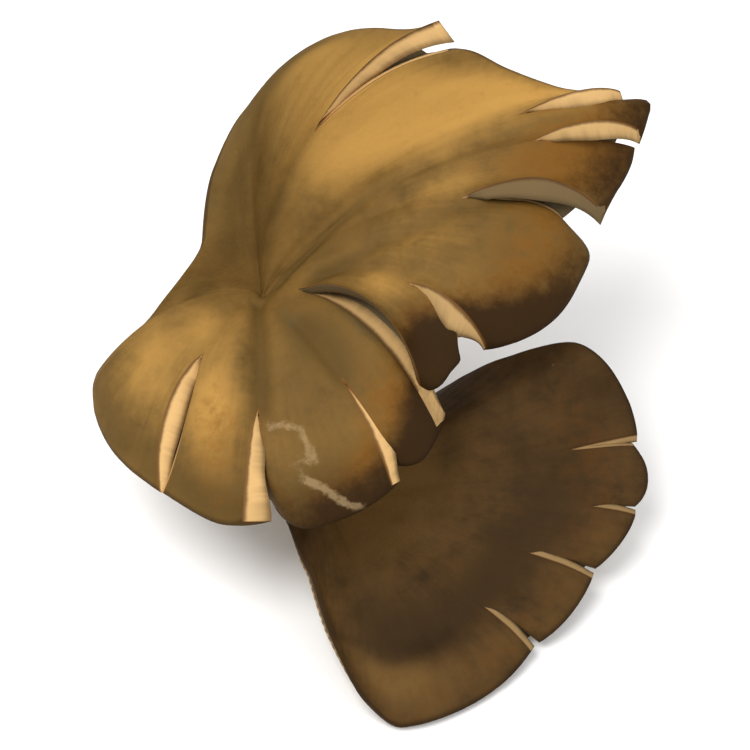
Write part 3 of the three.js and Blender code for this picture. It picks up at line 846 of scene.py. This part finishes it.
def skin_finish(name, tones):
    """Brown skin: soft radial streaks, mottling, painted highlights and painted shade, and
    darker patches towards the margin.
    """
    f = Finish(name)
    grain = f.attribute("grain", "Vector")
    place = f.attribute("place", "Vector")
    along = f.node("ShaderNodeSeparateXYZ", {}, {"Vector": place}, 1)
    solid = f.node("ShaderNodeTexCoord", {}, {}, "Object")
    cloud = f.noise(solid, 75.0, 5.0, 0.6)
    patch = f.noise(f.stretched(solid, (1, 1, 1), (0.3, 0.1, 0.2)), 210.0, 4.0, 0.6)
    streaks = f.noise(f.stretched(grain, (0.5, 0.5, 0.08)), 1.0, 3.0, 0.6)
    streaks = 0.5 + (streaks - 0.5) * along.from_to(0.15, 0.7)
    mottle = f.noise(f.stretched(solid, (1, 1, 1), (0.7, 0.4, 0.1)), 430.0, 4.0, 0.65)
    fine = f.noise(solid, 1500.0, 3.0, 0.6)
    specks = f.noise(solid, 800.0, 6.0, 0.7)
    soft = 0.5 * cloud + 0.25 * patch + tones["streaks"] * streaks + 0.1 * mottle
    color = f.blend((soft - 0.5) * tones["contrast"] + 0.5, tones["shade"], tones["base"])
    # painted highlights, on a golden tone of the skin
    gold = f.attribute("gold") + (soft - 0.5) * 1.2
    color = f.blend(gold.from_to(0.0, 1.1), color, tones["gold"])
    shade = f.attribute("shade") + (soft - 0.5) * 1.2
    color = f.blend(shade.from_to(0.0, 1.3) * 0.85, color, tones["shade"])
    grey = f.attribute("grey") + (patch - 0.5) * 0.8
    color = f.blend(grey.from_to(0.2, 1.0) * 0.7, color, tones["grey"])
    rust = f.attribute("rust") + (patch - 0.5) * 1.0 + (mottle - 0.5) * 1.0
    color = f.blend(rust.from_to(0.1, 1.1) * 0.9, color, tones["rust"])
    dark = f.attribute("dark") + (patch - 0.5) * 0.7 + (mottle - 0.5) * 0.7
    dark = dark + (specks - 0.5) * 0.4
    color = f.blend(dark.from_to(0.0, 1.3) * 0.95, color, tones["dark"])
    pale = f.attribute("pale") + (specks - 0.5) * 1.4 + (mottle - 0.5) * 0.8
    color = f.blend(pale.from_to(0.3, 0.9) * 0.5, color, tones["pale"])
    lip = 1 - f.attribute("edge").from_to(0.05, 0.6)
    color = f.blend(lip * along.from_to(0.2, 0.3) * 0.6, color, tones["lip"])
    rim = along.from_to(0.975, 0.998) * 0.6
    color = f.blend(rim, color, tones["dark"])
    rough = 0.62 + (fine - 0.5) * 0.25 + (cloud - 0.5) * 0.15
    height = 0.3 * fine + tones["streaks"] * 2 * streaks + 0.7 * specks
    height = height + 0.8 * mottle + 0.8 * patch
    normal = f.bump(height, 0.0003, 0.5)
    return f.surface(
        Base_Color=color, Roughness=rough, Normal=normal, Specular_IOR_Level=0.07
    )


def cut_finish(name, tones):
    """Torn flesh: cream with fibres across, painted shade towards the bottom of each tear and
    on the less pale walls, and a thin brown line under the skin.
    """
    f = Finish(name)
    grain = f.attribute("grain", "Vector")
    place = f.attribute("place", "Vector")
    depth = f.node("ShaderNodeSeparateXYZ", {}, {"Vector": place}, 2)
    fibres = f.noise(f.stretched(grain, (0.5, 0.5, 0.6)), 1.0, 4.0, 0.6)
    cloud = f.noise(f.stretched(grain, (0.2, 0.2, 0.2)), 1.0, 4.0, 0.6)
    # painted shade: the wall darkens from cream further down into the tear
    deep_shade = depth * 0.9 + (fibres - 0.5) * 0.9 + (cloud - 0.5) * 1.2
    color = f.blend(deep_shade.from_to(0.2, 1.2), tones["base"], tones["shade"])
    # painted shade: the less pale walls go brown
    color = f.blend(1 - f.attribute("cream").from_to(0.0, 0.9), color, tones["brown"])
    line = 1 - (depth + (fibres - 0.5) * 0.15).from_to(0.03, 0.22)
    color = f.blend(line * 0.85, color, tones["line"])
    normal = f.bump(fibres * 0.6 + cloud, 0.0004, 0.5)
    return f.surface(Base_Color=color, Roughness=0.8, Normal=normal, Specular_IOR_Level=0.1)


def gill_finish(name, base, valley_shade, gap_shade):
    f = Finish(name)
    coordinates = f.node("ShaderNodeTexCoord", {}, {}, "Object")
    cloud = f.noise(coordinates, 90.0, 5.0, 0.6)
    fine = f.noise(coordinates, 900.0, 3.0, 0.6)
    ridge = f.attribute("ridge")
    # painted shade between the gill blades
    color = f.blend(ridge.from_to(0.0, 0.9) * 0.9, valley_shade, base)
    color = f.blend((cloud - 0.45) * 1.5, color, (0.30, 0.19, 0.09))
    low = 1 - f.attribute("run").from_to(0.1, 0.26)
    color = f.blend(low, color, (0.56, 0.44, 0.28))
    # painted shade on the plate's upper face, which shows down the tears
    color = f.blend(f.attribute("upper_face").from_to(0.3, 0.9), color, gap_shade)
    normal = f.bump(fine, 0.0002, 0.4)
    return f.surface(Base_Color=color, Roughness=0.8, Normal=normal, Specular_IOR_Level=0.1)


def stem_finish(name, base, shade, foot):
    f = Finish(name)
    coordinates = f.node("ShaderNodeTexCoord", {}, {}, "Object")
    fibres = f.noise(f.stretched(coordinates, (500, 500, 60)), 1.0, 4.0, 0.6)
    cloud = f.noise(coordinates, 80.0, 5.0, 0.6)
    color = f.blend((cloud * 0.6 + fibres * 0.4 - 0.5) * 2.5 + 0.4, base, shade)
    low = f.attribute("run") + (cloud - 0.5) * 0.5
    color = f.blend(low.from_to(0.7, 1.1) * 0.7, color, foot)
    normal = f.bump(fibres, 0.0005, 0.6)
    return f.surface(Base_Color=color, Roughness=0.8, Normal=normal, Specular_IOR_Level=0.15)


# Where the skin is darker, greyer, redder or more golden, with painted highlights in the
# gold patches and painted shade beside darker skin in the shade patches: direction, place
# along the rib, width across in millimetres, length along the rib, and strength
UPPER_PATCHES = {
    "gold": [
        (36, 0.6, 27, 0.26, 1.3),
        (30, 0.9, 12, 0.16, 0.9),
        (66, 0.76, 16, 0.2, 0.8),
        (119, 0.85, 14, 0.1, 0.3),
        (-136, 0.68, 17, 0.16, 0.65),
        (-103, 0.66, 8, 0.18, 0.85),
        (-122, 0.42, 15, 0.12, 0.45),
        (-25, 0.56, 7, 0.12, 0.55),
        (13, 0.58, 8, 0.1, 0.5),
        (-8, 0.52, 12, 0.1, 0.4),
    ],
    "shade": [
        (114, 0.7, 46, 0.35, 0.9),
        (60, 0.2, 40, 0.16, 0.6),
        (88, 0.9, 12, 0.1, 0.8),
        (70, 0.95, 10, 0.05, 0.6),
        (0, 0.28, 30, 0.16, 0.7),
        (15, 0.86, 12, 0.16, 0.5),
        (20, 0.72, 8, 0.14, 0.3),
        (-4, 0.82, 18, 0.16, 0.8),
        (-72, 0.92, 15, 0.13, 1.3),
        (-75, 0.62, 9, 0.16, 0.5),
        (-52, 0.5, 9, 0.25, 0.9),
        (-64, 0.4, 9, 0.2, 0.7),
        (-129, 0.92, 22, 0.09, 0.8),
        (-101, 0.94, 10, 0.08, 0.9),
    ],
    "grey": [
        (-75, 0.5, 10, 0.15, 0.4),
        (120, 0.97, 40, 0.12, 0.5),
        (-60, 0.3, 8, 0.14, 0.5),
        (-40, 0.55, 5, 0.14, 0.8),
    ],
    "rust": [
        (-8, 0.86, 22, 0.14, 0.8),
        (16, 0.86, 14, 0.2, 1.1),
        (-28, 0.76, 10, 0.1, 0.7),
        (-48, 0.8, 9, 0.12, 1.0),
        (-101, 0.76, 9, 0.2, 0.6),
        (-61, 0.87, 5, 0.06, 0.6),
        (-70, 0.94, 14, 0.1, 0.7),
        (24, 0.93, 12, 0.1, 0.5),
    ],
    "dark": [
        (-5, 0.98, 16, 0.08, 0.7),
        (-19, 0.95, 16, 0.12, 1.3),
        (-32, 0.92, 13, 0.18, 1.9),
        (-46, 0.96, 10, 0.12, 1.0),
        (-70, 0.97, 17, 0.1, 1.25),
        (14, 0.97, 12, 0.12, 1.0),
        (21, 0.97, 8, 0.1, 0.9),
        (30, 0.99, 8, 0.05, 0.5),
    ],
    "pale": [
        (-78, 0.8, 3, 0.04, 0.5),
    ],
}
LOWER_PATCHES = {
    "gold": [
        (-60, 0.88, 30, 0.1, 0.5),
        (-67, 0.82, 10, 0.07, 0.7),
        (-20, 0.93, 40, 0.08, 0.3),
        # painted light: brightens the lower cap round its throat, where the upper cap shadows
        # it
        (-15, 0.29, 70, 0.19, 1.1),
    ],
    "shade": [
        (-28, 0.66, 60, 0.1, 0.6),
        (-66, 0.55, 14, 0.2, 0.5),
    ],
    "grey": [
        (20, 0.8, 20, 0.2, 0.3),
    ],
    "rust": [
        (-40, 0.9, 50, 0.1, 0.4),
        (5, 0.8, 30, 0.1, 0.4),
        (-10, 0.4, 30, 0.2, 0.3),
    ],
    "dark": [
        (10, 0.99, 30, 0.05, 0.4),
        (-55, 0.73, 14, 0.05, 0.6),
        (-10, 0.78, 14, 0.04, 0.4),
        (14, 0.9, 8, 0.08, 0.4),
    ],
    "pale": [
        (-77, 0.8, 4, 0.2, 0.3),
    ],
}

# Folds pressed into the skin and darkened along them with painted shade, and pale marks on
# it: depth in millimetres or strength, width, and the places that the line runs through
UPPER_FOLDS = [
    (1.5, 2.2, ((-92, 0.15), (-88, 0.35), (-88, 0.62))),
    (0.9, 2.6, ((-30, 0.3), (-11, 0.45), (3.6, 0.6), (8, 0.72))),
    (0.9, 2.4, ((-20, 0.1), (2, 0.15), (16, 0.28), (22, 0.42))),
    (0.6, 2.0, ((-26, 0.3), (-20, 0.5), (-22, 0.62))),
    (0.6, 1.6, ((-56, 0.35), (-56, 0.62))),
    (0.5, 2.0, ((44, 0.25), (44, 0.5))),
    (0.4, 1.6, ((18.5, 0.45), (18.5, 0.74))),
    (0.5, 1.6, ((-115, 0.2), (-115, 0.5))),
]
UPPER_MARKS = [
    (0.8, 0.9, ((-85.7, 0.68), (-80.8, 0.675), (-75.9, 0.7), (-74.2, 0.77), (-74.2, 0.8))),
    (1.1, 0.75, ((-77.5, 0.85), (-74.2, 0.88), (-72.6, 0.9), (-69.3, 0.96), (-65.9, 0.99))),
    (0.7, 0.5, ((26, 0.86), (23.5, 0.93))),
    (0.6, 0.5, ((119, 0.88), (116, 0.8))),
    (0.5, 0.4, ((2, 0.22), (5, 0.25))),
]
LOWER_FOLDS = [
    (1.0, 5.0, ((-63, 0.68), (-40, 0.72), (-20, 0.73), (-5, 0.72), (5.5, 0.82), (12, 0.92))),
    (0.4, 2.0, ((-55, 0.72), (-58, 0.9))),
    (0.4, 2.0, ((-48, 0.72), (-49, 0.9))),
    (0.4, 2.0, ((-27, 0.75), (-27, 0.92))),
]
LOWER_MARKS = [
    (0.5, 0.6, ((17, 0.9), (20, 0.84))),
]

UPPER_TONES = {
    "base": (0.235, 0.127, 0.031),
    "shade": (0.088, 0.051, 0.0135),
    "gold": (0.43, 0.235, 0.056),
    "grey": (0.10, 0.074, 0.034),
    "rust": (0.18, 0.076, 0.011),
    "dark": (0.022, 0.0095, 0.002),
    "pale": (0.36, 0.25, 0.125),
    "lip": (0.20, 0.08, 0.018),
    "streaks": 0.15,
    "contrast": 3.0,
}
# The lower cap is darker all over: partly its own deeper brown, partly painted shade for
# lying under the upper cap
LOWER_TONES = {
    "base": (0.074, 0.0375, 0.0105),
    "shade": (0.033, 0.0175, 0.0055),
    "gold": (0.125, 0.066, 0.018),
    "grey": (0.06, 0.042, 0.018),
    "rust": (0.085, 0.034, 0.0065),
    "dark": (0.016, 0.0075, 0.0024),
    "pale": (0.18, 0.115, 0.05),
    "lip": (0.05, 0.024, 0.008),
    "streaks": 0.15,
    "contrast": 4.5,
}
CUT_TONES = {
    "base": (0.62, 0.385, 0.155),
    "shade": (0.30, 0.185, 0.075),
    # the painted shade of the less pale walls
    "brown": (0.12, 0.08, 0.036),
    "line": (0.08, 0.034, 0.01),
}

upper_skin = skin_finish("upper_skin", UPPER_TONES)
lower_skin = skin_finish("lower_skin", LOWER_TONES)
cut_flesh = cut_finish("cut_flesh", CUT_TONES)
# Gill colours: the blades, the painted shade between them, and the painted shade on the
# plate's upper face
upper_gill_skin = gill_finish(
    "upper_gill_skin", (0.46, 0.34, 0.19), (0.17, 0.115, 0.06), (0.125, 0.09, 0.046)
)
lower_gill_skin = gill_finish(
    "lower_gill_skin", (0.44, 0.32, 0.18), (0.16, 0.11, 0.055), (0.03, 0.018, 0.008)
)
stem_skin = stem_finish(
    "stem_skin", (0.62, 0.50, 0.33), (0.38, 0.27, 0.15), (0.24, 0.14, 0.07)
)

upper = Cap(UPPER_THROAT, UPPER_RIBS, UPPER_TEARS)
lower = Cap(LOWER_THROAT, LOWER_RIBS, LOWER_TEARS)
upper_lines = Stem(upper, UPPER_STEM)
lower_lines = Stem(lower, LOWER_STEM)

upper_flesh = cap_piece(
    "upper_cap_flesh", upper, UPPER_PATCHES, UPPER_FOLDS, UPPER_MARKS, [upper_skin, cut_flesh]
)
lower_flesh = cap_piece(
    "lower_cap_flesh", lower, LOWER_PATCHES, LOWER_FOLDS, LOWER_MARKS, [lower_skin, cut_flesh]
)
upper_gills = gill_piece("upper_gills", upper, upper_lines, 2.4, upper_gill_skin)
lower_gills = gill_piece("lower_gills", lower, lower_lines, 2.0, lower_gill_skin)
upper_stem = stem_piece("upper_stem", upper, upper_lines, stem_skin)
lower_stem = stem_piece("lower_stem", lower, lower_lines, stem_skin)

pieces = [
    (upper_flesh, "upper_cap", "upper_skin"),
    (lower_flesh, "lower_cap", "lower_skin"),
    (upper_gills, "gills_and_stems", "pale_flesh"),
    (lower_gills, "gills_and_stems", "pale_flesh"),
    (upper_stem, "gills_and_stems", "pale_flesh"),
    (lower_stem, "gills_and_stems", "pale_flesh"),
]
for piece, node, slot in pieces:
    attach(piece, "root")
    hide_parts(node)


# The floor, the light and the camera

def floor():
    bm = bmesh.new()
    bmesh.ops.create_grid(bm, x_segments=1, y_segments=1, size=3000)
    piece = mesh_piece("floor", bm, [])
    f = Finish("floor")
    piece.data.materials.append(f.surface(Base_Color=(0.9, 0.9, 0.9, 1), Roughness=0.9))


def lamp(name, place, aim, size, power, color=(1, 1, 1)):
    data = bpy.data.lights.new(name, "AREA")
    data.shape, data.size, data.energy, data.color = "DISK", size, power, color
    light = bpy.data.objects.new(name, data)
    light.location = place
    light.rotation_euler = (Vector(aim) - Vector(place)).to_track_quat("-Z", "Y").to_euler()
    bpy.context.scene.collection.objects.link(light)


def camera(aim, distance, elevation):
    data = bpy.data.cameras.new("camera")
    data.lens, data.sensor_width = 100, 36
    view = bpy.data.objects.new("camera", data)
    rise = math.radians(elevation)
    view.location = Vector(aim) + distance * Vector((0, -math.cos(rise), math.sin(rise)))
    view.rotation_euler = (math.radians(90 - elevation), 0, 0)
    bpy.context.scene.collection.objects.link(view)
    bpy.context.scene.camera = view


floor()
lamp("key", (-0.25, -0.15, 0.75), (0.01, 0, 0.04), 0.5, 4.6, (1, 0.985, 0.96))
lamp("fill", (0.6, -0.4, 0.5), (0.01, 0, 0.03), 0.6, 1.6)
lamp("back", (0.1, 0.7, 0.5), (0.01, 0, 0.03), 0.6, 1.2)
world = bpy.data.worlds.new("studio")
world.use_nodes = True
world.node_tree.nodes["Background"].inputs["Color"].default_value = (1, 1, 1, 1)
world.node_tree.nodes["Background"].inputs["Strength"].default_value = 0.74
bpy.context.scene.world = world
bpy.context.scene.view_settings.view_transform = "Standard"
camera((0.015, -0.0102, 0.030), 0.416667, 50)
